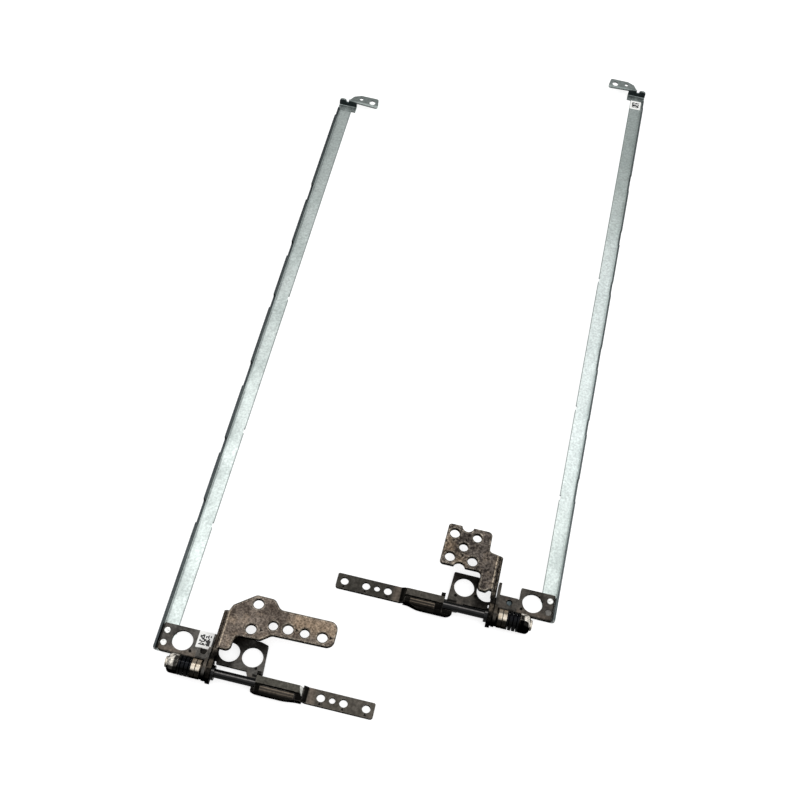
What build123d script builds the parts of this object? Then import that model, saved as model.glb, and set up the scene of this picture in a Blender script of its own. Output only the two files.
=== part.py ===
from build123d import *
import os

# A pair of laptop hinges lying closed on a table, millimetres, Z up, X along the pivots.
# Each hinge is drawn in its own frame: u runs inward from the outer edge of its strip,
# v runs along the strip from the pivot line, z is the height over the table.

# layout of the pair
pair_width = 109.4
setback = 35.7

# display strip: angle section, tabbed flange, upstand and screw ear at the far end
strip_width = 4.9
strip_sheet = 0.6
strip_foot = 3.4
strip_bend = 0.9
flange_high = 2.7
flange_low = 1.3
flange_tabs = [
    (3.4, 43.2), (51.1, 67.5), (73.0, 92.4), (101.6, 123.7),
    (129.0, 145.6), (151.8, 170.8), (178.0, 212.0)]
edge_notches = [44.4, 77.7, 130.3]
notch_length = 1.6
notch_depth = 0.35
wall_v = 219.3
wall_top = 3.4
wall_width = 6.4
wall_shoulder = 1.3
ledge_length = 2.2
lobe_width = 2.5
neck_offset = 0.9
ear_reach = 14.4
ear_behind = 3.6
ear_ahead = 0.8
ear_screw_hole = 2.2
ear_screw_inset = 2.5
ear_screw_behind = 1.4
ear_peg_hole = 1.4
ear_peg_inset = 6.7
ear_peg_behind = 2.0

# display plate: one stamping with boss holes, leg, rolled sleeve and slim bar
plate_sheet = 1.0
plate_front = 3.2
plate_back = 11.5
plate_end = 31.4
plate_inner = {"left": 3.2, "right": 2.2}
boss_hole = 6.0
boss_v = 7.5
boss_u = [7.25, 20.95, 27.7]
dimple_spots = {
    "left": [(10.2, 4.9), (29.5, 4.5)],
    "right": [(10.2, 4.9), (24.0, 5.5), (29.7, 4.3)]}
dimple_size = 0.9
dimple_depth = 0.4
rivet_diameter = 1.6
rivet_u = 2.25
rivet_v = [9.35, 5.65]
rivet_flare = 0.12
leg_u = 27.0
leg_front = -0.6
sleeve_start = 29.7
sleeve_hood = {"left": 30.8, "right": 32.8}
sleeve_end = 44.2
sleeve_lip = 1.67
sleeve_root = 2.4
sleeve_groove = 0.55
groove_v = -0.6
belly_reach = {"left": 2.9, "right": 3.25}
belly_round = 1.2
belly_front = {
    "left": [(0.05, 0.75), (1.7, 0.96), (5.5, 1.0), (9.0, 0.97), (12.0, 0.78)],
    "right": [(0.05, 0.5), (1.2, 0.86), (4.5, 1.0), (8.0, 0.97), (10.2, 0.9), (12.0, 0.72)]}
swage_ends = {"left": (32.3, 42.0), "right": (35.1, 43.9)}
tongue = {"left": 1.4, "right": 0.5}
tab_v = 2.0
tab_top = 5.0
tab_width = 1.2
bar_end = 64.5
bar_front = -1.55
bar_back = 3.1
bar_step = 1.0
bar_hole = 2.4
bar_peg_hole = 1.8
bar_first = 49.2
bar_pitch = 6.5
bar_hole_count = 3
bar_hole_v = 0.95

# shaft and the stack of rings on it
shaft_diameter = 2.5
run_clear = 0.03
neck_diameter = 3.0
neck_flats = 2.4
collar_diameter = 4.2
collar_width = 0.9
ring_diameter = 5.6
ring_clear = 0.06
friction_washer = 0.4
ear_sheet = 0.8
spacer_washer = 0.6
cam_width = 1.35
spring_count = 6
spring_pitch = 0.58
spring_sheet = 0.42
spring_gap = 0.01
end_washer = 0.4
nut_flats = 5.0
nut_width = 3.0
nut_round = 1.3
shaft_tail = 0.6
tail_flare = 0.1

# shaft ear: angle riveted on the display plate
ear_foot_u = {"left": 12.1, "right": 11.6}
ear_foot_back = {"left": 6.35, "right": 7.45}
ear_wing = {"left": 6.35, "right": 10.3}
ear_wing_top = 4.9
stud_diameter = 1.9
stud_spot = (14.0, 5.6)
stud_recess = 0.4

# base bracket: upright lug on the shaft, folded over into the screw plate
lug_u = {"left": 16.8, "right": 18.4}
lug_radius = 2.8
lug_gap = 0.3
lug_notch_v = 4.1
lug_toe = 2.9
base_sheet = 1.2
base_top = 7.6
fold_radius = 1.6
screw_hole = 3.0
peg_hole = 2.7
mark_size = 1.1
mark_depth = 0.15
edge_bite = 1.8

# sticker
sticker_thickness = 0.1
sticker_size = {"left": (4.3, 5.0), "right": (3.9, 4.1)}
sticker_spot = {"left": (13.4, 9.0), "right": (2.85, wall_v - 4.7)}

# derived sizes
shaft_radius = shaft_diameter / 2
neck_radius = neck_diameter / 2
ring_radius = ring_diameter / 2
plate_top = strip_sheet + plate_sheet
sleeve_bore = shaft_radius + run_clear
sleeve_outer = sleeve_bore + plate_sheet
axis_z = plate_top + sleeve_bore
sleeve_top = axis_z + sleeve_outer
bar_top = plate_sheet
ear_foot_top = plate_top + ear_sheet
ear_back = wall_v + ear_behind
ear_front = wall_v - ear_ahead
ear_screw_spot = (ear_reach - ear_screw_inset, wall_v + ear_screw_behind)
ear_peg_spot = (ear_reach - ear_peg_inset, wall_v + ear_peg_behind)
pair_length = lug_toe + setback + ear_back
pivot_y = {"left": lug_toe - pair_length / 2}
pivot_y["right"] = pivot_y["left"] + setback

# room for cuts that run right through
past = 1.0
high = 9.0


def outline(points):
    """Closed face through (x, y, corner radius) points."""
    face = Sketch() + make_face(Polyline(*[(x, y) for x, y, r in points], close=True))
    for x, y, r in points:
        if r > 0:
            corner = face.vertices().sort_by_distance((x, y, 0))[0]
            face = fillet(corner, radius=r)
    return face


def sheet(face, bottom, top):
    """Flat sheet cut to a plan outline in (u, v)."""
    return extrude(Plane.XY.offset(bottom) * face, amount=top - bottom)


def wall(face, u0, u1):
    """Upright sheet across the pivot line, cut to a (v, z) outline."""
    return extrude(Plane.YZ.offset(u0) * face, amount=u1 - u0)


def along(face, v0, v1):
    """Section given in (u, z), run along the strip."""
    plane = Plane(origin=(0, v0, 0), x_dir=(1, 0, 0), z_dir=(0, -1, 0))
    return extrude(plane * face, amount=v0 - v1)


def hole(spot, diameter, bottom=-past, top=high):
    """Upright drill through a flat sheet."""
    return Pos(spot[0], spot[1], (bottom + top) / 2) * Cylinder(diameter / 2, top - bottom)


def rod(radius, u0, u1):
    """Round bar on the pivot line."""
    return Pos((u0 + u1) / 2, 0, axis_z) * Rot(0, 90, 0) * Cylinder(radius, u1 - u0)


def eased_rod(radius, u0, u1, ease):
    """Round bar on the pivot line with both rims chamfered."""
    body = rod(radius, u0, u1)
    return chamfer(body.edges().filter_by(GeomType.CIRCLE), ease)


def flatted(radius, u0, u1, across):
    """Round bar on the pivot line with two flats."""
    return rod(radius, u0, u1) & Pos((u0 + u1) / 2, 0, axis_z) * Box(u1 - u0, 4 * radius, across)


def plain_ring(outer, inner, u0, u1, ease):
    """Washer with a round bore."""
    return eased_rod(outer, u0, u1, ease) - rod(inner, u0 - past, u1 + past)


def keyed_ring(outer, u0, u1, ease):
    """Washer whose bore fits the flatted part of the shaft."""
    across = neck_flats + 2 * ring_clear
    return eased_rod(outer, u0, u1, ease) - flatted(neck_radius + ring_clear, u0 - past, u1 + past, across)


def triangle(u, v, top, turn):
    """Small stamped triangle."""
    face = Pos(u, v) * Rot(0, 0, turn) * RegularPolygon(mark_size / 2, 3)
    return sheet(face, top - mark_depth, top + past)


# places along the shaft, counted outward from the lug
def stack(side):
    u = {"lug": lug_u[side]}
    u["ear_end"] = u["lug"] - friction_washer
    u["ear"] = u["ear_end"] - ear_sheet
    u["fixed_end"] = u["ear"] - spacer_washer
    u["fixed"] = u["fixed_end"] - cam_width
    u["moving"] = u["fixed"] - cam_width
    u["springs"] = u["moving"] - spring_count * spring_pitch
    u["washer"] = u["springs"] - end_washer
    u["nut"] = u["washer"] - nut_width
    u["tail"] = u["nut"] - shaft_tail
    return u


# display strip
def make_strip():
    sheet_end = wall_v + strip_sheet
    angle = outline([
        (0, 0, strip_bend), (strip_width, 0, 0), (strip_width, strip_sheet, 0),
        (strip_sheet, strip_sheet, strip_bend - strip_sheet), (strip_sheet, flange_high, 0),
        (0, flange_high, 0)])
    body = along(angle, strip_foot, wall_v - ledge_length)
    ends = [start for start, end in flange_tabs[1:]] + [sheet_end + past]
    for (tab, start), end in zip(flange_tabs, ends):
        low = outline([
            (start, flange_low, 0.4), (end, flange_low, 0.4),
            (end + 0.6, high, 0), (start - 0.6, high, 0)])
        body -= wall(low, -past, strip_sheet + past)
    for v in edge_notches:
        body -= Pos(strip_width, v, 0) * Box(2 * notch_depth, notch_length, high)

    upstand = wall(outline([
        (wall_v - ledge_length, 0, 0), (sheet_end, 0, strip_bend), (sheet_end, wall_top, 0),
        (wall_v, wall_top, 0), (wall_v, strip_sheet, strip_bend - strip_sheet),
        (wall_v - ledge_length, strip_sheet, 0)]), 0, wall_width)
    neck_u = lobe_width + neck_offset
    shoulder = wall_top - wall_shoulder
    front = outline([
        (0, -past, 0), (wall_width, -past, 0), (wall_width, high, 0), (neck_u, high, 0),
        (neck_u, shoulder, 0.3), (lobe_width, shoulder, 0.3), (lobe_width, wall_top, 0.9),
        (0, wall_top, 1.1)])
    upstand &= along(front, wall_v - ledge_length, sheet_end)

    ear = sheet(outline([
        (neck_u, wall_v, 0), (neck_u + 1.5, ear_back - 1.1, 0.8), (neck_u + 3.9, ear_back, 1.5),
        (ear_reach - 0.6, ear_back, 0.9), (ear_reach, ear_front, 0.9),
        (wall_width, wall_v - 0.3, 0.4)]), wall_top - strip_sheet, wall_top)
    ear -= hole(ear_screw_spot, ear_screw_hole)
    ear -= hole(ear_peg_spot, ear_peg_hole)
    body = body + upstand + ear
    for v in rivet_v:
        body -= hole((rivet_u, v), rivet_diameter)
    return body - hole((boss_u[0], boss_v), boss_hole)


def make_strip_rivets():
    rivets = []
    for v in rivet_v:
        pin = Pos(rivet_u, v, plate_top / 2) * Cylinder(rivet_diameter / 2, plate_top)
        head = Cylinder(rivet_diameter / 2 + rivet_flare, rivet_flare)
        head = chamfer(head.edges().group_by(Axis.Z)[-1], 0.08)
        rivets.append(pin + Pos(rivet_u, v, plate_top + rivet_flare / 2) * head)
    return Compound(children=rivets)


# display plate
def plan_of_plate(side):
    notch_a = lug_u[side] - lug_gap
    notch_b = lug_u[side] + base_sheet + lug_gap
    edge = strip_bend + 0.05
    inner = plate_inner[side]
    front = [
        (notch_a, plate_front, 0.2), (notch_a, lug_notch_v, 0.2), (notch_b, lug_notch_v, 0.2),
        (notch_b, inner, 0.2), (leg_u, inner, 0.3), (leg_u + 1.1, 0.9, 0.3),
        (leg_u + 1.3, leg_front, 0.4), (sleeve_start, leg_front, 0), (sleeve_end, leg_front, 0),
        (sleeve_end, sleeve_root, 0), (plate_end + 0.5, sleeve_root, 0.2)]
    if side == "left":
        head = [(edge, plate_front + 0.6, 0.2), (edge + 1.1, plate_front, 0.4)]
        back = [
            (31.2, 11.8, 0.4), (28.9, 12.4, 0.6), (19.0, 12.4, 0.6), (17.6, plate_back, 0.5),
            (edge, plate_back, 0.3)]
    else:
        head = [(edge, plate_front, 0.5)]
        back = [
            (plate_end, 11.6, 0.5), (19.6, plate_back, 0.6), (19.6, 7.55, 0.6), (11.2, 7.55, 0.6),
            (11.2, plate_back, 0.4), (edge, plate_back, 0.4)]
    return outline(head + front + back)


def section_of_sleeve(side):
    """Sheet rolled round the shaft, hammered flat on top, with a groove and a belly in front."""
    bottom = axis_z - sleeve_outer
    reach = belly_reach[side]
    foot = (belly_round - reach, bottom)
    knee = (-sleeve_bore - 0.75, axis_z + 0.35)
    outside = Line((sleeve_root, bottom), foot)
    outside += ThreePointArc(foot, (-reach, bottom + belly_round), knee)
    groove = sleeve_top - sleeve_groove
    top = Polyline(
        knee, (groove_v - 0.25, groove + 0.1), (groove_v, groove), (groove_v + 0.25, sleeve_top),
        (sleeve_lip, sleeve_top), (sleeve_lip, sleeve_top - plate_sheet), (0, axis_z + sleeve_bore))
    bore = ThreePointArc(
        (0, axis_z + sleeve_bore), (-sleeve_bore, axis_z), (0, axis_z - sleeve_bore))
    close = Polyline(
        (0, axis_z - sleeve_bore), (sleeve_root, axis_z - sleeve_bore), (sleeve_root, bottom))
    return make_face(outside + top + bore + close)


def make_swage(side):
    """Raised band pressed out of the sleeve's front, below the groove."""
    crest = groove_v - 0.2
    section = Polyline((-1.9, axis_z + 0.3), (crest, axis_z + 1.5), (crest, sleeve_top - 0.2))
    section += ThreePointArc(
        (crest, sleeve_top - 0.2), (-1.75, axis_z + 1.72), (-2.38, axis_z + 0.85))
    section += Line((-2.38, axis_z + 0.85), (-1.9, axis_z + 0.3))
    start, end = swage_ends[side]
    plan = outline([(start, -4, 0), (end, -4, 0), (end, crest, 0.5), (start, crest, 0.5)])
    return wall(make_face(section), start, end) & sheet(plan, 0, high)


def make_sleeve(side):
    body = wall(section_of_sleeve(side), sleeve_start, sleeve_end)
    # the hood starts later than the belly
    body -= Pos(sleeve_hood[side] - 3, 0, axis_z + 2.1) * Box(6, 12, 4)
    # the belly's front edge swells and dies away along the sleeve
    front = [(sleeve_start + u, -share * belly_reach[side]) for u, share in belly_front[side]]
    last = (sleeve_end + past, front[-1][1])
    rim = Spline(*front, last)
    rim += Polyline(
        last, (last[0], sleeve_root), (sleeve_start, sleeve_root), (sleeve_start, front[0][1]), front[0])
    body &= sheet(make_face(rim), 0, high)
    body += make_swage(side)
    # tongue sloping down at the far end, wide at the back
    ends = []
    for v, width in ((sleeve_lip + past, tongue[side]), (-sleeve_outer - past, 0.05)):
        face = Polyline(
            (sleeve_end - width, sleeve_top + 0.01), (sleeve_end + 0.1, axis_z + 0.9),
            (sleeve_end + 0.1, high), (sleeve_end - width, high), close=True)
        ends.append(Plane(origin=(0, v, 0), x_dir=(1, 0, 0), z_dir=(0, -1, 0)) * make_face(face))
    return body - loft(ends)


def make_display_plate(side):
    body = sheet(plan_of_plate(side), strip_sheet, plate_top) + make_sleeve(side)
    tab = outline([
        (tab_v, plate_top - 0.5, 0), (tab_v + plate_sheet, plate_top - 0.5, 0),
        (tab_v + plate_sheet, tab_top, 0.35), (tab_v, tab_top, 0.35)])
    body += wall(tab, sleeve_hood[side] - 0.2, sleeve_hood[side] + tab_width - 0.2)
    # slim bar, stepped down onto the table
    root = sleeve_end - 0.3
    step = outline([
        (root, strip_sheet, 0), (sleeve_end + 0.1, strip_sheet, 0.2),
        (sleeve_end + bar_step, 0, 0.3), (bar_end, 0, 0), (bar_end, bar_top, 0),
        (sleeve_end + bar_step + 0.2, bar_top, 0.3), (sleeve_end + 0.3, plate_top, 0.2),
        (root, plate_top, 0)])
    plan = outline([
        (root, bar_front, 0), (bar_end, bar_front, 0.8), (bar_end, bar_back, 0.5),
        (root, bar_back, 0)])
    body += along(step, bar_front, bar_back) & sheet(plan, -past, high)
    for u in boss_u:
        body -= hole((u, boss_v), boss_hole)
    for v in rivet_v:
        body -= hole((rivet_u, v), rivet_diameter)
    for i in range(bar_hole_count):
        u = bar_first + i * bar_pitch
        body -= hole((u, bar_hole_v), bar_hole)
        body -= triangle(u, bar_hole_v - 1.85, bar_top, 90)
    body -= hole((bar_first + bar_pitch / 2, bar_hole_v), bar_peg_hole)
    body -= hole(stud_spot, stud_diameter)
    for spot in dimple_spots[side]:
        body -= hole(spot, dimple_size, plate_top - dimple_depth)
    return body


# shaft ear
def make_shaft_ear(side):
    u = stack(side)
    foot_u = ear_foot_u[side]
    back = ear_foot_back[side]
    wing = ear_wing[side]
    front = plate_front + 0.1
    section = outline([
        (foot_u, plate_top, 0), (u["ear_end"], plate_top, 0.9), (u["ear_end"], high, 0),
        (u["ear"], high, 0), (u["ear"], ear_foot_top, 0.2), (foot_u, ear_foot_top, 0)])
    plan = outline([
        (foot_u, front, 0.3), (u["ear"], front, 0), (u["ear"], back, 0), (foot_u, back, 0.4)])
    corner = outline([
        (front, plate_top, 0), (back, plate_top, 0), (back, ear_wing_top, 0),
        (front, ear_wing_top, 0)])
    keep = sheet(plan, plate_top, ear_wing_top) + wall(corner, u["ear"], u["ear_end"])
    upright = outline([
        (-2.55, 0.6, 0.9), (2.55, 0.6, 0.5), (2.75, plate_top + 0.3, 0.3),
        (wing, plate_top + 0.3, 0.4), (wing, ear_wing_top, 0.6), (3.2, 5.2, 1.5),
        (1.6, axis_z + lug_radius, 1.2), (-2.55, axis_z + lug_radius, 1.9)])
    body = (along(section, front, back) & keep) + wall(upright, u["ear"], u["ear_end"])
    body -= rod(neck_radius + run_clear, u["ear"] - past, u["ear_end"] + past)
    body -= hole(stud_spot, stud_diameter)
    return body


def make_ear_rivet():
    top = ear_foot_top - stud_recess
    middle = (strip_sheet + top) / 2
    pin = Pos(*stud_spot, middle) * Cylinder(stud_diameter / 2, top - strip_sheet)
    return chamfer(pin.edges().group_by(Axis.Z)[-1], 0.25)


# shaft: slim journal, collar against the lug, flatted neck and a headed tail
def make_shaft(side):
    u = stack(side)
    inner = u["lug"] + base_sheet
    body = rod(shaft_radius, inner, sleeve_end - tongue["left"])
    body += rod(collar_diameter / 2, inner, inner + collar_width)
    body += rod(neck_radius, u["fixed"], inner)
    body += flatted(neck_radius, u["nut"], u["fixed"], neck_flats)
    head = rod(neck_radius + tail_flare, u["tail"], u["nut"])
    return body + fillet(head.edges().group_by(Axis.X)[0], 0.35)


def make_springs(side):
    """Disc springs, cupped in turn to one side and to the other."""
    first = stack(side)["moving"]
    inner = neck_radius + ring_clear
    cup = spring_pitch - spring_sheet - spring_gap
    discs = []
    for i in range(spring_count):
        near = first - i * spring_pitch - spring_gap / 2
        rim = near - (i % 2) * cup
        hub = near - (1 - i % 2) * cup
        section = make_face(Polyline(
            (rim, 0, axis_z + ring_radius), (rim - spring_sheet, 0, axis_z + ring_radius),
            (hub - spring_sheet, 0, axis_z + inner), (hub, 0, axis_z + inner), close=True))
        discs.append(revolve(section, Axis((0, 0, axis_z), (1, 0, 0)), 360))
    return Compound(children=discs)


def make_nut(side):
    u = stack(side)
    hexagon = extrude(RegularPolygon(nut_flats / 2, 6, major_radius=False), amount=nut_width)
    hexagon = Pos(u["nut"], 0, axis_z) * Rot(0, 90, 0) * hexagon
    dome = rod(ring_radius, u["nut"], u["washer"])
    dome = fillet(dome.edges().group_by(Axis.X)[0], nut_round)
    bore = flatted(neck_radius, u["nut"], u["washer"], neck_flats)
    return (hexagon & dome) - bore


# base bracket
def side_of_lug():
    crown = axis_z + lug_radius
    return outline([
        (17.1, base_top, 0), (17.1, 5.2, 0.8), (14.4, 2.6, 1.8), (3.5, 2.6, 0.6),
        (2.75, 0.75, 0.5), (-lug_toe + 0.1, 0.55, 0.15), (-lug_toe, 2.6, 0.5), (-2.5, 4.4, 0.8),
        (-1.3, crown, 0.9), (2.6, crown, 1.2), (5.8, base_top, 0)])


def plan_of_base(side):
    fold = lug_u[side] + fold_radius - 0.1
    if side == "left":
        return outline([
            (fold, 5.8, 0), (21.7, 5.7, 1.6), (21.9, 10.4, 1.5), (29.0, 10.75, 1.6),
            (31.8, 12.95, 1.8), (49.3, 13.35, 2.3), (49.3, 20.95, 2.3), (32.3, 20.75, 1.8),
            (30.1, 23.4, 2.0), (24.7, 23.45, 1.6), (fold + 0.7, 19.0, 1.0), (fold, 17.1, 0)])
    body = outline([
        (fold, 5.8, 0), (20.7, 6.1, 0.6), (21.7, 5.0, 0.7), (24.0, 5.2, 0.9), (24.0, 10.9, 1.1),
        (36.5, 10.8, 1.1), (36.1, 23.8, 0.9), (22.9, 23.9, 1.4), (22.8, 17.6, 1.1),
        (fold, 17.1, 0)])
    for spot in ((30.55, 10.4), (30.4, 24.1)):
        body -= Pos(*spot) * Circle(edge_bite)
    return body


screw_spots = {
    "left": [(25.75, 21.0), (25.75, 13.25), (35.8, 15.7), (45.7, 15.7)],
    "right": [(33.85, 21.05), (33.85, 13.35), (27.1, 13.35)]}
peg_spots = {
    "left": [(31.5, 15.7), (40.6, 15.7)],
    "right": [(27.1, 21.05), (30.48, 17.2)]}
mark_spots = {
    "left": [(28.5, 13.6, 0), (38.2, 15.9, 0), (48.0, 16.0, 0)],
    "right": [(30.4, 14.6, 30), (35.9, 18.0, 0), (33.9, 18.7, 30)]}


def make_base(side):
    lug = lug_u[side]
    inside = lug + base_sheet
    under = base_top - base_sheet
    angle = outline([
        (lug, -past, 0), (lug, base_top, fold_radius), (52, base_top, 0), (52, under, 0),
        (inside, under, fold_radius - base_sheet), (inside, -past, 0)])
    flat = sheet(plan_of_base(side), under - 0.5, base_top)
    body = along(angle, -4, 26) & (wall(side_of_lug(), lug - 0.5, lug + fold_radius) + flat)
    body -= rod(neck_radius, lug - past, inside + past)
    for spot in screw_spots[side]:
        body -= hole(spot, screw_hole)
    for spot in peg_spots[side]:
        body -= hole(spot, peg_hole)
    for u, v, turn in mark_spots[side]:
        body -= triangle(u, v, base_top, turn)
    return body


def make_sticker(side):
    seat = plate_top if side == "left" else strip_sheet
    length, width = sticker_size[side]
    label = Box(length, width, sticker_thickness)
    return Pos(*sticker_spot[side], seat + sticker_thickness / 2) * label


def place(shape, side):
    """Left hinge as drawn, right hinge mirrored and set back."""
    if side == "left":
        return Pos(-pair_width / 2, pivot_y[side], 0) * shape
    return Pos(pair_width / 2, pivot_y[side], 0) * mirror(shape, about=Plane.YZ)


def make_hinge(side):
    """All pieces of one hinge, by name."""
    u = stack(side)
    round_bore = neck_radius + run_clear
    return {
        "strip": make_strip(),
        "strip_rivets": make_strip_rivets(),
        "display_plate": make_display_plate(side),
        "shaft_ear": make_shaft_ear(side),
        "ear_rivet": make_ear_rivet(),
        "sticker": make_sticker(side),
        "shaft": make_shaft(side),
        "base_bracket": make_base(side),
        "friction_washer": plain_ring(ring_radius, neck_radius, u["ear_end"], u["lug"], 0.05),
        "spacer_washer": plain_ring(ring_radius - 0.15, round_bore, u["fixed_end"], u["ear"], 0.05),
        "fixed_cam": plain_ring(ring_radius, round_bore, u["fixed"], u["fixed_end"], 0.12),
        "moving_cam": keyed_ring(ring_radius, u["moving"], u["fixed"], 0.12),
        "disc_springs": make_springs(side),
        "end_washer": keyed_ring(ring_radius - 0.1, u["washer"], u["springs"], 0.05),
        "lock_nut": make_nut(side)}


os.makedirs("parts", exist_ok=True)

for side in ("left", "right"):
    for name, shape in make_hinge(side).items():
        export_step(place(shape, side), "parts/" + side + "_" + name + ".step")
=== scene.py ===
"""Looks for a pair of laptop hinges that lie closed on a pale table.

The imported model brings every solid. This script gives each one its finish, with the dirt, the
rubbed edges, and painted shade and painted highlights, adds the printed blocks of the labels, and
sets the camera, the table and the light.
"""

import logging
import math
import random
from dataclasses import dataclass, replace
from enum import Enum
from functools import partial

import bmesh
import bpy
from mathutils import Matrix, Vector


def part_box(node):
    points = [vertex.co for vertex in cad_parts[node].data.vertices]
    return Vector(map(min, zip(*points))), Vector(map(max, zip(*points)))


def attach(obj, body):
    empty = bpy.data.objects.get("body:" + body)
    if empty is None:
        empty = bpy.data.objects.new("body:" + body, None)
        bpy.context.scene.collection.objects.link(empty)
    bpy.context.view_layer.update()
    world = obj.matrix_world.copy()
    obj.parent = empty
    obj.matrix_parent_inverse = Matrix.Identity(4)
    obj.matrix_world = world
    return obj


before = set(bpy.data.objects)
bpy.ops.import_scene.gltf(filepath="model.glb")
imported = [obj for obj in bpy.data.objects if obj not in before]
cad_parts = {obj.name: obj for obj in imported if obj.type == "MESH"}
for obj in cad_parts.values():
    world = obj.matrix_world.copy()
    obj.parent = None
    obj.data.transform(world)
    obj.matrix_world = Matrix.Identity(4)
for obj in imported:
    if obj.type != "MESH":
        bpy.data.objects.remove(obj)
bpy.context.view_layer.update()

log = logging.getLogger("hinges")

MM = 0.001
PER_METRE = 1000
WHITE = (1, 1, 1, 1)
PAIR_MIDDLE = (0, -0.08, 0)

# Near black: painted shade on the plates, brackets and barrel, and dirt in the stamped marks.
OIL_AND_SHADE = "#0D0C0B"
BARREL_SHADE = "#0C0B0A"

# Noise gathers round one half, so each pattern is cut from a band of it.
NOISE_ROUGHNESS = 0.6
STAIN_LOW, STAIN_SPREAD, STAIN_HIGH = 0.62, 0.3, 0.66
WARM_BAND = (0.52, 0.66)
MOTTLE_BAND = (0.36, 0.64)
FLECK_BAND = (0.34, 0.66)
UNEVEN_BAND, UNEVEN_LEAST = (0.35, 0.6), 0.25
GLOSS_BAND, GLOSS_SWING = (0.3, 0.7), (0.85, 1.2)
# The warm spots are a second noise, finer than the stains and moved away from them.
WARM_SIZE, WARM_SHIFT = 0.8, (31, 17, 5)
# Lathe rings run round the shaft, so their noise is drawn out across it.
LATHE_DRAW = (1, 0.02, 0.02)
# A patch with ragged borders follows a noise of this grain, in millimetres.
RIPPLE_SIZE = 1.4
# Cosines between which a patch that faces one way fades in.
FACING_BAND = (0.5, 0.75)


class Side(Enum):
    """The two hinges of the pair."""

    LEFT = "left"
    RIGHT = "right"


def linear(colour: str) -> tuple[float, float, float, float]:
    """Turns an sRGB hex colour to linear values.

    Args:
        colour: Six hex digits after a hash.

    Returns:
        Red, green, blue and an alpha of one.
    """
    parts = [int(colour[i:i + 2], 16) / 255 for i in (1, 3, 5)]
    straight = (p / 12.92 if p <= 0.04045 else ((p + 0.055) / 1.055) ** 2.4 for p in parts)
    return tuple(straight) + (1.0,)


def feed(node: bpy.types.Node, inputs: dict) -> None:
    """Sets a node's values and links.

    Args:
        node: The node.
        inputs: Socket name or number to a value, or to the socket or node that it is linked from.
            A node gives its first output in use.
    """
    for name, value in inputs.items():
        if isinstance(value, bpy.types.Node):
            value = next(socket for socket in value.outputs if socket.enabled)
        if isinstance(value, bpy.types.NodeSocket):
            node.id_data.links.new(value, node.inputs[name])
        else:
            node.inputs[name].default_value = value


def add(tree: bpy.types.NodeTree, kind: str, inputs: dict = None, **settings) -> bpy.types.Node:
    """Adds one node to a tree, with its settings, its values and its links.

    Args:
        tree: The node tree.
        kind: The node's type.
        inputs: What its sockets are fed.
        settings: Properties of the node itself.

    Returns:
        The new node.
    """
    made = tree.nodes.new(kind)
    for name, value in settings.items():
        setattr(made, name, value)
    feed(made, inputs or {})
    return made


def blank(name: str) -> tuple[bpy.types.Material, bpy.types.Node, partial]:
    """Makes a new material.

    Args:
        name: The material's name.

    Returns:
        The material, its shader, and what adds a node to it.
    """
    made = bpy.data.materials.new(name)
    made.use_nodes = True
    return made, made.node_tree.nodes["Principled BSDF"], partial(add, made.node_tree)


@dataclass(frozen=True)
class Place:
    """Where one hinge stands in the row frame, in millimetres."""

    side: Side
    edge: float
    pivot: float

    @property
    def sign(self) -> float:
        """Direction of u, which runs inward from the strip's outer edge."""
        return 1.0 if self.side is Side.LEFT else -1.0

    def node(self, name: str) -> str:
        """The full name of one of this hinge's nodes."""
        return f"{self.side.value}_{name}"


PLACES = {
    Side.LEFT: Place(Side.LEFT, edge=-54.7, pivot=-127.85),
    Side.RIGHT: Place(Side.RIGHT, edge=54.7, pivot=-92.15),
}


@dataclass
class Ground:
    """What every pattern of one material starts from, in the hinge's own frame."""

    new: partial
    place: Place

    def __post_init__(self) -> None:
        """Adds the coordinates, in millimetres, the surface's direction and a soft noise."""
        where = self.new("ShaderNodeTexCoord").outputs
        sign = self.place.sign
        self.spot = self.new("ShaderNodeMapping", {
            "Vector": where["Object"],
            "Location": (-self.place.edge * sign, -self.place.pivot, 0),
            "Scale": (PER_METRE * sign, PER_METRE, PER_METRE)})
        self.axes = self.new("ShaderNodeSeparateXYZ", {0: self.spot}).outputs
        self.normal = self.new("ShaderNodeMapping", {
            "Vector": where["Normal"], "Scale": (sign, 1, 1)})
        wave = self.new("ShaderNodeTexNoise", {
            "Vector": self.spot, "Scale": 1 / RIPPLE_SIZE, "Detail": 3.0,
            "Roughness": NOISE_ROUGHNESS})
        self.ripple = self.new("ShaderNodeMath", {0: wave, 1: 2.0, 2: -1.0},
                               operation="MULTIPLY_ADD")


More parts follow.
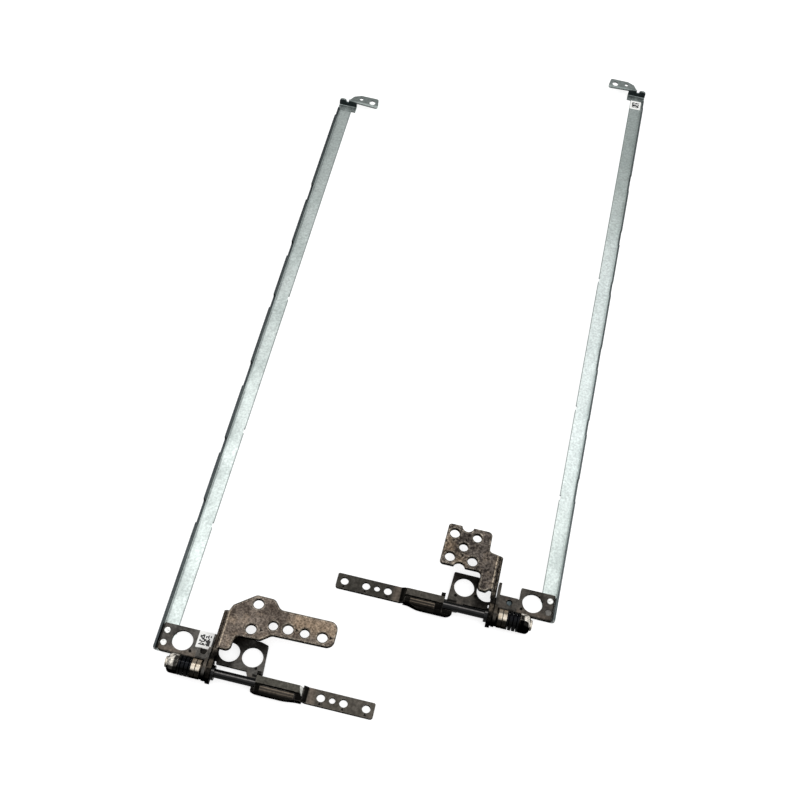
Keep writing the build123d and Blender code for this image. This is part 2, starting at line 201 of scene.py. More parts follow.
@dataclass(frozen=True)
class Patch:
    """One place on a hinge where the finish differs, such as dirt, painted shade in a fold or a
    painted highlight line.

    Ranges of u, v and z are millimetres in the hinge's own frame, and facing is a direction in it.
    A patch that is over lies on the rubbed edges, too.
    """

    shade: str
    share: float = 1.0
    u: tuple = ()
    v: tuple = ()
    z: tuple = ()
    soft: float = 0.15
    ragged: float = 0.0
    facing: tuple = ()
    over: bool = False

    def mask(self, ground: Ground) -> bpy.types.Node:
        """How much of the patch lies on each point.

        Args:
            ground: What the patterns of its material start from.

        Returns:
            A node that gives zero to the patch's share.
        """
        new = ground.new
        parts = []
        for value, span in zip(ground.axes, (self.u, self.v, self.z)):
            if not span:
                continue
            middle, half = (span[0] + span[1]) / 2, (span[1] - span[0]) / 2
            off = new("ShaderNodeMath", {0: value, 1: middle}, operation="SUBTRACT")
            off = new("ShaderNodeMath", {0: off}, operation="ABSOLUTE")
            if self.ragged:
                off = new("ShaderNodeMath", {0: ground.ripple, 1: self.ragged, 2: off},
                          operation="MULTIPLY_ADD")
            parts.append(new("ShaderNodeMapRange", {
                0: off, 1: half - self.soft, 2: half + self.soft, 3: 1.0, 4: 0.0}))
        if self.facing:
            turn = new("ShaderNodeVectorMath", {0: ground.normal, 1: self.facing},
                       operation="DOT_PRODUCT")
            parts.append(new("ShaderNodeMapRange", {
                0: turn, 1: FACING_BAND[0], 2: FACING_BAND[1]}))
        total = self.share
        for part in parts:
            total = new("ShaderNodeMath", {0: part, 1: total}, operation="MULTIPLY")
        return total


@dataclass(frozen=True)
class Metal:
    """A metal finish: stains, mottle, flecks, rubbed edges, and painted shade on faces turned to
    the front.

    Sizes are grains in millimetres. Mottle and fleck are the share by which they change the colour.
    The turns are cosines between which the rubbed edge, the dark rim and the painted front shade
    fade, and grazing is the tint of the surface when it is seen along itself.
    """

    name: str
    base: str
    stain: str
    warm: str
    rubbed: str
    roughness: float
    stain_size: float
    stain_share: float
    warm_share: float
    mottle_size: float
    mottle: float
    grain: float
    fleck: float
    edge: float
    edge_share: float
    bump: float
    edge_turn: tuple = (0.8, 0.98)
    rim: str = "#14120F"
    rim_share: float = 0.0
    rim_turn: tuple = (0.93, 0.985)
    front_shade: float = 0.0
    front_shade_turn: tuple = (-0.75, -0.97)
    turned: float = 0.0
    coat: float = 0.0
    coat_roughness: float = 0.12
    grazing: str = "#6A6A6A"

    def material(self, place: Place, patches: tuple = ()) -> bpy.types.Material:
        """Builds the material.

        Args:
            place: The hinge that it is for, so that patches lie at the right place.
            patches: What is painted over the base colour, in order.

        Returns:
            The finished material.
        """
        made, shader, new = blank(f"{self.name} {place.side.value}")
        ground = Ground(new, place)
        clouds, flecks, mottle = (
            new("ShaderNodeTexNoise", {
                "Vector": ground.spot, "Scale": 1 / size, "Detail": detail,
                "Roughness": NOISE_ROUGHNESS})
            for size, detail in (
                (self.stain_size, 5.0), (self.grain, 2.0), (self.mottle_size, 4.0)))
        shifted = new("ShaderNodeMapping", {"Vector": ground.spot, "Location": WARM_SHIFT})
        warmth = new("ShaderNodeTexNoise", {
            "Vector": shifted, "Scale": 1 / (self.stain_size * WARM_SIZE), "Detail": 6.0,
            "Roughness": NOISE_ROUGHNESS})
        stained = new("ShaderNodeMapRange", {
            0: clouds, 1: STAIN_LOW - STAIN_SPREAD * self.stain_share, 2: STAIN_HIGH})
        warmed = new("ShaderNodeMapRange", {
            0: warmth, 1: WARM_BAND[0], 2: WARM_BAND[1], 4: self.warm_share})

        # rubbed edges: where a rounded copy of the surface turns away from the real one
        face = new("ShaderNodeNewGeometry").outputs["Normal"]
        eased = new("ShaderNodeBevel", {"Radius": self.edge * MM}, samples=6)
        turn = new("ShaderNodeVectorMath", {0: eased, 1: face}, operation="DOT_PRODUCT")
        worn = new("ShaderNodeMapRange", {
            0: turn, 1: self.edge_turn[0], 2: self.edge_turn[1], 3: self.edge_share, 4: 0.0})
        uneven = new("ShaderNodeMapRange", {
            0: mottle, 1: UNEVEN_BAND[0], 2: UNEVEN_BAND[1], 3: UNEVEN_LEAST})
        patchy = new("ShaderNodeMath", {0: worn, 1: uneven}, operation="MULTIPLY")

        # each coat is laid over the ones before it
        coats = [(stained, self.stain), (warmed, self.warm)]
        coats += [(patch.mask(ground), patch.shade) for patch in patches if not patch.over]
        coats.append((patchy, self.rubbed))
        if self.rim_share > 0:
            coats.append((new("ShaderNodeMapRange", {
                0: turn, 1: self.rim_turn[0], 2: self.rim_turn[1], 3: self.rim_share, 4: 0.0}),
                self.rim))
        coats += [(patch.mask(ground), patch.shade) for patch in patches if patch.over]
        colour = linear(self.base)
        for share, shade in coats:
            colour = new("ShaderNodeMix", {0: share, 6: colour, 7: linear(shade)},
                         data_type="RGBA")

        tones = [(mottle, *MOTTLE_BAND, 1 - self.mottle, 1 + self.mottle),
                 (flecks, *FLECK_BAND, 1 - self.fleck, 1 + self.fleck)]
        if self.front_shade > 0:
            # painted shade darkens the faces that are turned to the front
            ahead = new("ShaderNodeSeparateXYZ", {0: ground.normal}).outputs[1]
            tones.append((ahead, self.front_shade_turn[1], self.front_shade_turn[0], 1 - self.front_shade, 1.0))
        for value, low, high, start, end in tones:
            tone = new("ShaderNodeMapRange", {0: value, 1: low, 2: high, 3: start, 4: end})
            colour = new("ShaderNodeVectorMath", {0: colour, "Scale": tone}, operation="SCALE")

        gloss = new("ShaderNodeMapRange", {
            0: clouds, 1: GLOSS_BAND[0], 2: GLOSS_BAND[1],
            3: self.roughness * GLOSS_SWING[0], 4: self.roughness * GLOSS_SWING[1]})
        height = flecks
        if self.turned > 0:
            drawn = new("ShaderNodeMapping", {"Vector": ground.spot, "Scale": LATHE_DRAW})
            rings = new("ShaderNodeTexNoise", {
                "Vector": drawn, "Scale": 1 / self.turned, "Detail": 1.0,
                "Roughness": NOISE_ROUGHNESS})
            height = new("ShaderNodeMath", {0: rings, 1: flecks}, operation="ADD")
        relief = new("ShaderNodeBump", {
            "Height": height, "Strength": 1.0, "Distance": self.bump * MM})

        feed(shader, {"Base Color": colour, "Roughness": gloss, "Normal": relief, "Metallic": 1.0,
                      "Specular Tint": linear(self.grazing)})
        if self.coat > 0:
            feed(shader, {"Coat Weight": self.coat, "Coat Roughness": self.coat_roughness})
        return made


# Galvanised sheet: a pale, faintly green zinc skin. Its points are drawn 0.7 mm wide, coarser than
# real ones, so that they still show when the whole strip is in view.
GALVANISED = Metal(
    "galvanised sheet", base="#D2DBD8", stain="#C1CBC8", warm="#DAE2E0", rubbed="#E4EAE8",
    roughness=0.42, stain_size=16, stain_share=0.5, warm_share=0.4, mottle_size=1.6, mottle=0.05,
    grain=0.7, fleck=0.15, edge=0.15, edge_share=0.3, bump=0.03, front_shade=0.75,
    front_shade_turn=(-0.4, -0.9), grazing="#FFFFFF")
# Dark nickel plate on the display bracket: a satin grey, mottled, with pinholes. They are drawn
# 0.75 mm wide, coarser than real ones.
DARK_PLATE = Metal(
    "dark nickel plated sheet", base="#4B4946", stain="#393734", warm="#5A534C", rubbed="#85807A",
    roughness=0.42, stain_size=4, stain_share=0.6, warm_share=0.5, mottle_size=1.3, mottle=0.2,
    grain=0.75, fleck=0.24, edge=0.2, edge_share=0.5, bump=0.03, front_shade=0.92,
    front_shade_turn=(-0.72, -0.96))
# The right hinge's plate is a darker batch.
DARKER_PLATE = replace(
    DARK_PLATE, name="dark nickel plated sheet, darker", base="#423F3B", stain="#2D2B28",
    warm="#534B44", rubbed="#726D66")
# Bronze grey plate on the base bracket: satin, stained in patches, dark right on its edges and
# rubbed bare just inside them. Its specks are drawn 0.5 mm wide, coarser than real ones.
BRONZE_PLATE = Metal(
    "bronze grey plated sheet", base="#645B53", stain="#433B35", warm="#7E6F60", rubbed="#C4B9A9",
    roughness=0.38, stain_size=4.5, stain_share=0.75, warm_share=0.5, mottle_size=1.1, mottle=0.24,
    grain=0.5, fleck=0.5, edge=0.9, edge_share=0.75, edge_turn=(0.985, 0.9985), bump=0.03,
    rim_share=0.9, front_shade=0.93, front_shade_turn=(-0.6, -0.9))
# The right hinge's bracket is darker, too, and more speckled.
DARKER_BRONZE = replace(
    BRONZE_PLATE, name="bronze grey plated sheet, darker", base="#504A45", stain="#36312D",
    warm="#675C50", grain=0.65, fleck=0.75)
# Black oxide on the turned shaft: near black. The long grey streak along its top is a painted
# highlight.
BLACK_OXIDE = Metal(
    "black oxide steel", base="#151516", stain="#0E0E0E", warm="#232221", rubbed="#5A5856",
    roughness=0.3, stain_size=3, stain_share=0.5, warm_share=0.3, mottle_size=1.0, mottle=0.15,
    grain=0.5, fleck=0.15, edge=0.12, edge_share=0.5, bump=0.01, front_shade=0.9,
    front_shade_turn=(-0.35, -0.75), turned=0.4, coat=0.2)
# Blued spring steel: thin rings, nearly black, with faint blue rims.
BLUED_STEEL = Metal(
    "blued spring steel", base="#0D0E11", stain="#070708", warm="#111216", rubbed="#2A3040",
    roughness=0.28, stain_size=2, stain_share=0.5, warm_share=0.2, mottle_size=0.8, mottle=0.2,
    grain=0.4, fleck=0.1, edge=0.06, edge_share=0.5, bump=0.004, front_shade=0.95,
    front_shade_turn=(-0.2, -0.5), coat=0.1)
# Nickel plate on the cams and the nut: warm, bright on top, painted black as shade round the lower
# half.
NICKEL = Metal(
    "warm nickel plate", base="#DCD2C2", stain="#9C8E79", warm="#E9E1D4", rubbed="#F6F2EA",
    roughness=0.24, stain_size=1.8, stain_share=0.55, warm_share=0.4, mottle_size=0.9, mottle=0.12,
    grain=0.4, fleck=0.1, edge=0.12, edge_share=0.5, bump=0.008, front_shade=0.985,
    front_shade_turn=(-0.3, -0.55), turned=0.25)
# The lock nut is smoother, and its dark stains paint the room's reflection in hard edged shapes.
NUT_NICKEL = replace(
    NICKEL, name="polished nickel plate", base="#F2ECE1", stain="#1E1A16", roughness=0.16,
    stain_size=0.8, stain_share=0.66, front_shade_turn=(-0.45, -0.68))
# The right nut has more painted shade, reaching higher up its front.
MORE_SHADED_NUT = replace(NUT_NICKEL, name="nickel plate with more painted shade", front_shade_turn=(-0.2, -0.5))
# Oiled steel of the washers: brown black with dull ridges.
OILED_STEEL = Metal(
    "oiled steel", base="#2F2B27", stain="#171513", warm="#4A4239", rubbed="#7A7064",
    roughness=0.36, stain_size=1.6, stain_share=0.7, warm_share=0.5, mottle_size=0.8, mottle=0.25,
    grain=0.5, fleck=0.2, edge=0.12, edge_share=0.5, bump=0.02, front_shade=0.97,
    front_shade_turn=(-0.15, -0.45), turned=0.3)
# Rivet steel: bright and hammered.
RIVET_STEEL = Metal(
    "hammered rivet steel", base="#E6E7E5", stain="#B0B1AE", warm="#C9C5BC", rubbed="#F6F6F6",
    roughness=0.35, stain_size=0.9, stain_share=0.6, warm_share=0.3, mottle_size=0.6, mottle=0.15,
    grain=0.25, fleck=0.15, edge=0.1, edge_share=0.3, bump=0.02, front_shade=0.7, grazing="#FFFFFF")
# The stud that holds the left ear was blackened with the plate.
STUD_STEEL = replace(
    RIVET_STEEL, name="blackened stud", base="#1E1C1A", stain="#100F0E", warm="#2A2826",
    rubbed="#4A4642")
# The stud of the right ear is a dull bluish grey.
GREY_STUD = replace(
    RIVET_STEEL, name="grey stud", base="#4A5356", stain="#32393B", warm="#525A5C",
    rubbed="#6E787B")


@dataclass(frozen=True)
class Paper:
    """Coated label paper: white, with a faint fibre and a few smudges."""

    name: str = "coated label paper"
    base: str = "#FAFAF8"
    dirt: str = "#D2D1CB"
    dirt_share: float = 0.35
    fibre: float = 0.12
    smudge: float = 1.1

    def material(self) -> bpy.types.Material:
        """Builds the material.

        Returns:
            The finished material.
        """
        made, shader, new = blank(self.name)
        spot = new("ShaderNodeMapping", {
            "Vector": new("ShaderNodeTexCoord").outputs["Object"], "Scale": (PER_METRE,) * 3})
        fibres = new("ShaderNodeTexNoise", {
            "Vector": spot, "Scale": 1 / self.fibre, "Detail": 4.0})
        smudges = new("ShaderNodeTexNoise", {"Vector": spot, "Scale": self.smudge, "Detail": 3.0})
        dirty = new("ShaderNodeMapRange", {0: smudges, 1: 0.5, 2: 0.75, 4: self.dirt_share})
        feed(shader, {
            "Base Color": new("ShaderNodeMix", {
                0: dirty, 6: linear(self.base), 7: linear(self.dirt)}, data_type="RGBA"),
            "Roughness": new("ShaderNodeMapRange", {0: fibres, 3: 0.5, 4: 0.8}),
            "Normal": new("ShaderNodeBump", {"Height": fibres, "Distance": 0.00001})})
        return made


@dataclass(frozen=True)
class Ink:
    """Thermal print: flat black that has broken up a little at the paper's fibres."""

    name: str = "thermal print ink"
    base: str = "#0E0E0E"
    worn: str = "#2E2E2C"
    breaks: float = 6.0

    def material(self) -> bpy.types.Material:
        """Builds the material.

        Returns:
            The finished material.
        """
        made, shader, new = blank(self.name)
        spot = new("ShaderNodeMapping", {
            "Vector": new("ShaderNodeTexCoord").outputs["Object"], "Scale": (PER_METRE,) * 3})
        breaks = new("ShaderNodeTexNoise", {"Vector": spot, "Scale": self.breaks, "Detail": 3.0})
        share = new("ShaderNodeMapRange", {0: breaks, 1: 0.5, 2: 0.8})
        feed(shader, {
            "Base Color": new("ShaderNodeMix", {
                0: share, 6: linear(self.base), 7: linear(self.worn)}, data_type="RGBA"),
            "Roughness": new("ShaderNodeMapRange", {0: breaks, 3: 0.35, 4: 0.6})})
        return made


def dress(node: str, material: bpy.types.Material) -> None:
    """Puts one material on every slot of a CAD node.

    Args:
        node: The node's name.
        material: Its new material.
    """
    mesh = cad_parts[node].data
    mesh.materials.clear()
    mesh.materials.append(material)
    log.info("%s dressed in %s", node, material.name)


def keep_piece(made: bmesh.types.BMesh, name: str, body: str,
               material: bpy.types.Material) -> bpy.types.Object:
    """Turns a bmesh into a piece of the object that rides on a body.

    Args:
        made: The finished mesh in the row frame, in metres.
        name: The piece's name.
        body: The CAD body that carries it.
        material: Its finish.

    Returns:
        The new object.
    """
    bmesh.ops.recalc_face_normals(made, faces=made.faces)
    mesh = bpy.data.meshes.new(name)
    made.to_mesh(mesh)
    made.free()
    mesh.materials.append(material)
    piece = bpy.data.objects.new(name, mesh)
    bpy.context.scene.collection.objects.link(piece)
    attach(piece, body)
    log.info("%s: %d faces on %s", name, len(mesh.polygons), body)
    return piece


@dataclass
class DisplayStrip:
    """The long galvanised angle with its rivets and label, in millimetres of the hinge's frame.

    Beyond is any v past the strip's far end.
    """

    place: Place
    width: float = 4.9
    sheet: float = 0.6
    flange_end: float = 217.0
    beyond: float = 300.0
    label_rows: int = 10
    label_columns: int = 10
    label_seed: int = 11
    cell: float = 0.32
    bare_share: float = 0.3
    ink_height: float = 0.012

    def dress(self) -> None:
        """Gives the strip, its rivets and its label their finishes."""
        right = self.place.side is Side.RIGHT
        flange = (-1.0, self.flange_end)
        shaded = (
            # painted shade on the flange, a painted reflection of the flange in the corner beside
            # it, and the cut edge
            Patch("#565C5D" if right else "#43484A", 1.0, u=(-1.0, self.sheet + 0.1), v=flange,
                  z=(0.75, 9.0), soft=0.08, facing=(0, 0, 1) if right else (), over=True),
            Patch("#8E9896", 0.1 if right else 0.6, u=(self.sheet, self.sheet + 0.6), v=flange,
                  z=(-1.0, 0.8)),
            Patch("#6F7775", 0.8, u=(self.width - 0.22, self.width + 1), v=(-1.0, 216.5),
                  soft=0.05),
            # painted shade greying the far end, the upstand there painted dark as shade, and the
            # ear
            Patch("#7F8A88", 0.5 if right else 0.3, v=(165.0 if right else 160.0, self.beyond),
                  soft=22.0 if right else 40.0),
            Patch("#4A5759", 0.95, u=(-1.0, 6.6), v=(216.6, 220.0), z=(0.7, 3.3), soft=0.25,
                  ragged=0.2),
            Patch("#7D8482" if right else "#6C7371", 0.8, v=(219.6, 226.0), z=(2.6, 3.6),
                  soft=0.2))
        if right:
            # a painted lighter stretch, where more light falls on the strip
            shaded = (Patch("#E6EFEE", 0.6, v=(45.0, 150.0), soft=15.0),) + shaded
        rivets = (Patch("#44413D", 0.9, v=(4.4, 6.8)),) if right else ()
        dress(self.place.node("strip"), GALVANISED.material(self.place, shaded))
        dress(self.place.node("strip_rivets"), RIVET_STEEL.material(self.place, rivets))
        dress(self.place.node("sticker"), Paper().material())

    def print_label(self) -> None:
        """Lays a block of random cells on the label, which encodes nothing."""
        low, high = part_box(self.place.node("sticker"))
        dice = random.Random(self.label_seed)
        made = bmesh.new()
        step = self.cell * MM
        corner = (low + high) / 2 - Vector((self.label_columns, self.label_rows, 0)) * step / 2
        for row in range(self.label_rows):
            for column in range(self.label_columns):
                if dice.random() < self.bare_share:
                    continue
                spot = corner + Vector((column + 0.5, row + 0.5, 0)) * step
                spot.z = high.z + self.ink_height * MM / 2
                size = Matrix.Diagonal((step, step, self.ink_height * MM, 1))
                bmesh.ops.create_cube(made, size=1.0, matrix=Matrix.Translation(spot) @ size)
        keep_piece(made, self.place.node("label_print"), "displays", Ink().material())


@dataclass
class DisplayPlate:
    """The dark stamping under the barrel, with its rolled sleeve and slim bar.

    Lead is the u where the sleeve's patches begin, a little before the sleeve, and beyond is any u
    past the bar's end.
    """

    place: Place
    lead: float = 29.0
    sleeve_end: float = 44.2
    beyond: float = 70.0
    hood: float = 30.8
    swage: tuple = (32.3, 42.0)
    lug: float = 16.8

    def dress(self) -> None:
        """Gives the plate and the shaft ear their finishes."""
        left = self.place.side is Side.LEFT
        metal = DARK_PLATE if left else DARKER_PLATE
        lead, end, beyond = self.lead, self.sleeve_end, self.beyond
        patches = (
            # brownish towards the barrel; painted shade, black, along the front edge and beside the
            # strip's flange
            Patch("#6B6157", 0.5 if left else 0.25, u=(1.0, 17.0), v=(2.5, 5.2), soft=1.0,
                  ragged=0.6),
            Patch(OIL_AND_SHADE, 0.8, u=(-1.0, 17.0), v=(3.0, 3.55), soft=0.15),
            Patch(OIL_AND_SHADE, 0.85, u=(0.0, 1.25), z=(0.5, 1.8), soft=0.1),
            # painted shadow under the base bracket, and painted shade in the dimple bottoms
            Patch(OIL_AND_SHADE, 1.0, u=(self.lug - 1.2, self.lug + 5.9), v=(1.2, 13.0), z=(0, 1.8),
                  soft=0.7, ragged=0.9, over=True),
            Patch(OIL_AND_SHADE, 1.0, u=(17.5, 31.5), v=(9.0, 14.5), z=(0, 1.8), soft=1.0, ragged=0.7,
                  over=True),
            Patch(OIL_AND_SHADE, 0.9, z=(1.1, 1.3), soft=0.05, facing=(0, 0, 1)),
            # sleeve: greenish grey top and lighter swaged band; painted shade, black, in the
            # groove, on the belly, at the hood start, along the plate behind the sleeve and on the
            # tab
            Patch("#45433D" if left else "#423F3A", 0.85, u=(lead, end), v=(-0.55, 1.9),
                  z=(4.8, 6.0), soft=0.1),
            Patch("#3E3934" if left else "#282522", 0.9, u=self.swage, v=(-2.3, -0.9),
                  z=(3.6, 5.3), soft=0.12, ragged=0.1),
            Patch("#8D8070", 0.5, u=self.swage, v=(-1.3, -1.12), z=(3.6, 5.3), soft=0.06),
            Patch("#8D8070", 0.4, u=self.swage, v=(-1.95, -1.8), z=(3.6, 5.3), soft=0.06),
            Patch(OIL_AND_SHADE, 0.95, u=(lead, end + 0.1), v=(-0.98, -0.55), z=(4.2, 5.3), soft=0.06),
            Patch(OIL_AND_SHADE, 0.95, u=(lead, end + 0.3), v=(-5.0, -1.9), z=(-1, 3.75), soft=0.25,
                  ragged=0.15),
            Patch(OIL_AND_SHADE, 0.95, u=(lead, self.swage[0] - 0.1), v=(-5.0, -0.7), soft=0.15),
            Patch(OIL_AND_SHADE, 0.9, u=(lead, end), v=(2.0, 2.75), z=(1.0, 4.0), soft=0.15),
            Patch(OIL_AND_SHADE, 0.9, u=(self.hood - 0.4, self.hood + 1.3), v=(1.75, 3.3), z=(1.7, 6.0)),
            # the bar, and painted shade, black, on the step down to it, in a thin line on the bar
            # and in front of the sleeve's end
            Patch("#4A4640" if left else "#35332F", 0.85, u=(end + 1.2, beyond), soft=0.2),
            Patch("#6F645A", 0.5, u=(end + 1.2, 47.4), soft=0.6, ragged=0.5),
            Patch(OIL_AND_SHADE, 0.95, u=(end + 1.5, beyond), z=(0.8, 0.9), soft=0.03, facing=(0, 0, 1),
                  over=True),
            Patch(OIL_AND_SHADE, 0.95, u=(end - 0.02, end + 1.25), soft=0.14),
            Patch(OIL_AND_SHADE, 0.95, u=(end - 1.9, end + 1.1), v=(-5.0, -0.75), soft=0.2))
        if left:
            # the sleeve's sheared end is bright
            patches += (Patch("#C9C9C4", 0.95, u=(42.6, end + 0.1), v=(-0.9, 2.0), z=(3.6, 5.3),
                              facing=(1.0, 0, 0.2)),)
        dress(self.place.node("display_plate"), metal.material(self.place, patches))
        # painted shade: the ear's front near black and a dark line behind it; its crown is browner
        ear = (
            Patch(OIL_AND_SHADE, 0.95, v=(-4.0, 1.8), z=(-1.0, 5.4), soft=0.3, over=True),
            Patch("#6E6458", 0.35, v=(0.0, 3.0), z=(5.3, 6.0), soft=0.2),
            Patch(OIL_AND_SHADE, 0.7, v=(3.0, 3.6), z=(1.0, 2.6), soft=0.15))
        dress(self.place.node("shaft_ear"), metal.material(self.place, ear))
        stud = STUD_STEEL if left else GREY_STUD
        dress(self.place.node("ear_rivet"), stud.material(self.place))


@dataclass
class Barrel:
    """The friction stack on the shaft, by its places of u. Beyond is any u past the shaft's end."""

    place: Place
    tail: float = 5.45
    nut_end: float = 8.42
    seam: float = 13.65
    beyond: float = 70.0

    def dress(self) -> None:
        """Gives every ring its finish."""
        # the turned tail is bright, and a painted highlight lies as a grey streak along the top of
        # the shaft
        tail = (Patch("#D6CEC0", 0.95, u=(0.0, self.tail), soft=0.05),
                Patch("#757270", 0.6, u=(self.nut_end + 9.0, self.beyond), v=(-0.2, 0.1),
                      z=(4.0, 7.0), soft=0.1, ragged=0.05))
        dress(self.place.node("shaft"), BLACK_OXIDE.material(self.place, tail))
        dress(self.place.node("disc_springs"), BLUED_STEEL.material(self.place))
        # the cams are browner and darker at the back, and black in the seam between them
        cam = (Patch("#6C5F50", 0.8, v=(0.1, 5.0), soft=1.3),
               Patch("#221D18", 0.85, u=(self.seam - 0.12, self.seam + 0.12), soft=0.05,
                     over=True))
        for ring in ("fixed_cam", "moving_cam"):
            dress(self.place.node(ring), NICKEL.material(self.place, cam))
        # painted shade, black, between the nut and the end washer, and on the front of the nut
        nut_shade = (Patch(BARREL_SHADE, 0.95, u=(self.nut_end - 1.1, self.nut_end + 0.05),
                     v=(-4.0, 1.9), soft=0.15, ragged=0.25),
               Patch(BARREL_SHADE, 0.97, v=(-6.0, -1.35), soft=0.2, ragged=0.35, over=True))
        nut = NUT_NICKEL if self.place.side is Side.LEFT else MORE_SHADED_NUT
        dress(self.place.node("lock_nut"), nut.material(self.place, nut_shade))
        for ring in ("friction_washer", "spacer_washer", "end_washer"):
            dress(self.place.node(ring), OILED_STEEL.material(self.place))


@dataclass
class BaseBracket:
    """The folded bracket that is screwed to the base. Warm spots are ranges of u, then of v."""

    place: Place
    lug: float = 16.8
    warm_spots: tuple = ((36.0, 49.5, 16.0, 21.0),)

    def dress(self) -> None:
        """Gives the bracket its finish, with painted shade near black down at the lug."""
        left = self.place.side is Side.LEFT
        patches = [Patch("#94806A", 0.45, u=spot[:2], v=spot[2:], soft=1.6, ragged=1.6)
                   for spot in self.warm_spots]
        patches += [
            # the fold: painted shade round the bend, with a thin painted highlight where the flat
            # begins
            Patch("#362F29" if left else "#1B1815", 0.9, u=(self.lug - 0.5, self.lug + 1.45),
                  soft=0.25),
            Patch("#B5A793", 0.6, u=(self.lug + 1.62, self.lug + 1.9), v=(6.5, 30.0), soft=0.1,
                  ragged=0.1),
            # painted shade, near black, down at the lug, whose crown stays brown grey
            Patch(OIL_AND_SHADE, 0.95, v=(-6.0, 5.0), soft=0.7, over=True),
            Patch("#5E554A", 0.35, v=(0.2, 2.6), z=(5.3, 6.0), soft=0.2, over=True),
            # dirt in the small stamped arrows
            Patch(OIL_AND_SHADE, 0.9, z=(7.4, 7.5), soft=0.03, facing=(0, 0, 1), over=True)]
        metal = BRONZE_PLATE if left else DARKER_BRONZE
        dress(self.place.node("base_bracket"), metal.material(self.place, tuple(patches)))


@dataclass(frozen=True)
class Lamp:
    """A square lamp that looks at the middle of the pair, in watts and metres."""

    name: str
    power: float
    size: float
    spot: tuple

    def hang(self) -> None:
        """Hangs the lamp at its place."""
        data = bpy.data.lights.new(self.name, "AREA")
        data.energy, data.size = self.power, self.size
        lamp = bpy.data.objects.new(self.name, data)
        bpy.context.scene.collection.objects.link(lamp)
        lamp.location = self.spot
        aim = Vector(PAIR_MIDDLE) - lamp.location
        lamp.rotation_euler = aim.to_track_quat("-Z", "Y").to_euler()


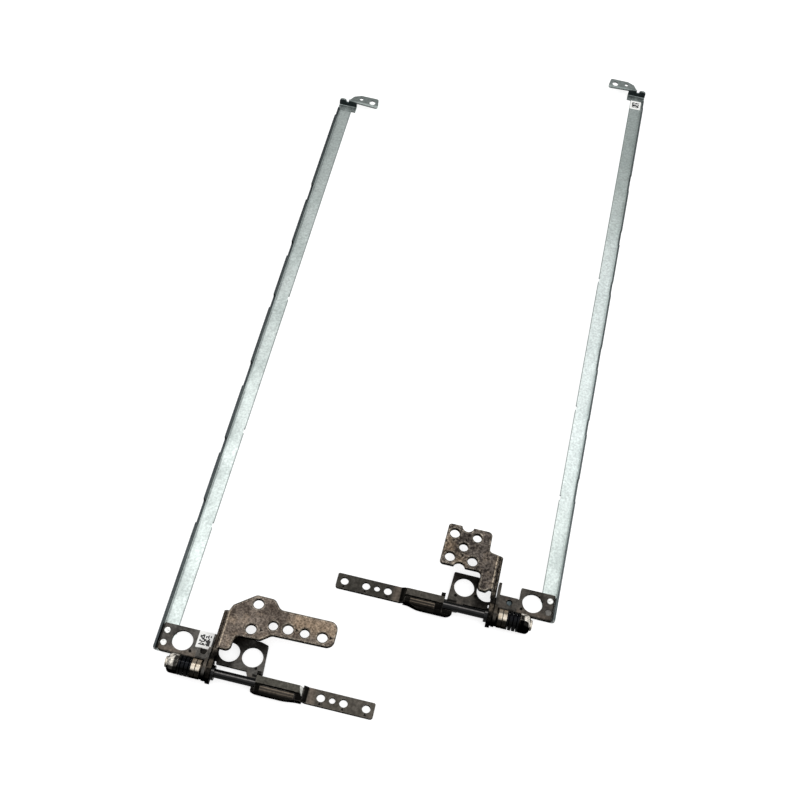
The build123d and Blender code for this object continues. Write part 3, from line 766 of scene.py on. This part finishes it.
@dataclass
class Studio:
    """Camera, pale table and soft light.

    The camera's place and the table's drop are millimetres, its turns are degrees, and the clip
    and the table's size are metres.
    """

    focal: float = 58.545
    sensor: float = 36.0
    clip: tuple = (0.01, 20.0)
    turn: tuple = (-31.021, 4.14, -12.671)
    stand: tuple = (16.42, -240.43, 354.7)
    table_size: float = 5.0
    table_drop: float = 0.03
    table_shade: str = "#B4B4B4"
    table_roughness: float = 0.9
    table_lift: float = 0.72
    room_light: tuple = (0.5, 0.45)
    backdrop_top: tuple = (0.3, 0.42)
    lamps: tuple = (
        Lamp("softbox", power=7.6, size=1.5, spot=(0.16, -0.22, 0.75)),
        Lamp("key", power=0.2, size=0.08, spot=(-0.2, 0.2, 0.6)))

    def place_camera(self) -> None:
        """Stands the camera where the holes of the photographed hinges line up."""
        data = bpy.data.cameras.new("camera")
        data.lens, data.sensor_width = self.focal, self.sensor
        data.clip_start, data.clip_end = self.clip
        camera = bpy.data.objects.new("camera", data)
        bpy.context.scene.collection.objects.link(camera)
        tilt, roll, swing = (math.radians(angle) for angle in self.turn)
        turn = (Matrix.Rotation(tilt, 3, "X") @ Matrix.Rotation(roll, 3, "Y")
                @ Matrix.Rotation(swing, 3, "Z")).transposed()
        camera.matrix_world = Matrix.Translation(Vector(self.stand) * MM) @ turn.to_4x4()
        bpy.context.scene.camera = camera

    def lay_table(self) -> None:
        """A white table, brighter to the camera and to reflections than its light makes it."""
        made = bmesh.new()
        bmesh.ops.create_grid(made, x_segments=1, y_segments=1, size=self.table_size / 2,
                              matrix=Matrix.Translation((0, 0, -self.table_drop * MM)))
        mesh = bpy.data.meshes.new("table")
        made.to_mesh(mesh)
        made.free()
        table = bpy.data.objects.new("table", mesh)
        bpy.context.scene.collection.objects.link(table)
        white, shader, new = blank("white table")
        lift = new("ShaderNodeMath", {0: self.seen(new), 1: self.table_lift}, operation="MULTIPLY")
        feed(shader, {"Base Color": linear(self.table_shade), "Roughness": self.table_roughness,
                      "Emission Color": WHITE, "Emission Strength": lift})
        mesh.materials.append(white)

    @staticmethod
    def seen(new: partial) -> bpy.types.Node:
        """Tells rays that see the background from those that only light the object.

        Args:
            new: What adds a node to the tree.

        Returns:
            A node that gives one for camera, glossy and transmission rays, and else zero.
        """
        path = new("ShaderNodeLightPath").outputs
        first = new("ShaderNodeMath", {0: path["Is Camera Ray"], 1: path["Is Glossy Ray"]},
                    operation="MAXIMUM")
        return new("ShaderNodeMath", {0: first, 1: path["Is Transmission Ray"]},
                   operation="MAXIMUM")

    def light(self) -> None:
        """A grey room with a white backdrop, a softbox overhead and a small lamp behind."""
        world = bpy.data.worlds.new("studio")
        bpy.context.scene.world = world
        world.use_nodes = True
        new = partial(add, world.node_tree)
        generated = new("ShaderNodeTexCoord").outputs["Generated"]
        height = new("ShaderNodeSeparateXYZ", {0: generated}).outputs[2]
        room = new("ShaderNodeMapRange", {
            0: height, 3: self.room_light[0], 4: self.room_light[1]})
        backdrop = new("ShaderNodeMapRange", {
            0: height, 1: self.backdrop_top[0], 2: self.backdrop_top[1], 3: 1.0, 4: 0.0})
        share = new("ShaderNodeMath", {0: backdrop, 1: self.seen(new)}, operation="MULTIPLY")
        strength = new("ShaderNodeMix", {0: share, 2: room, 3: 1.0}, data_type="FLOAT")
        feed(world.node_tree.nodes["Background"], {"Color": WHITE, "Strength": strength})
        for lamp in self.lamps:
            lamp.hang()


def main() -> None:
    """Dresses both hinges, then sets the stage."""
    logging.basicConfig(level=logging.INFO, format="%(name)s: %(message)s")
    left, right = PLACES[Side.LEFT], PLACES[Side.RIGHT]
    for strip in (DisplayStrip(left),
                  DisplayStrip(right, label_rows=8, label_columns=8, label_seed=23)):
        strip.dress()
        strip.print_label()
    for piece in (
            DisplayPlate(left), DisplayPlate(right, hood=32.8, swage=(35.1, 43.9), lug=18.4),
            Barrel(left), Barrel(right, tail=7.05, nut_end=10.02, seam=15.25),
            BaseBracket(left),
            BaseBracket(right, lug=18.4,
                        warm_spots=((33.5, 37.0, 14.5, 20.0), (29.5, 32.5, 10.5, 14.0)))):
        piece.dress()
    studio = Studio()
    studio.place_camera()
    studio.lay_table()
    studio.light()
    scene = bpy.context.scene
    scene.view_settings.view_transform = "Standard"


if __name__ == "__main__":
    main()
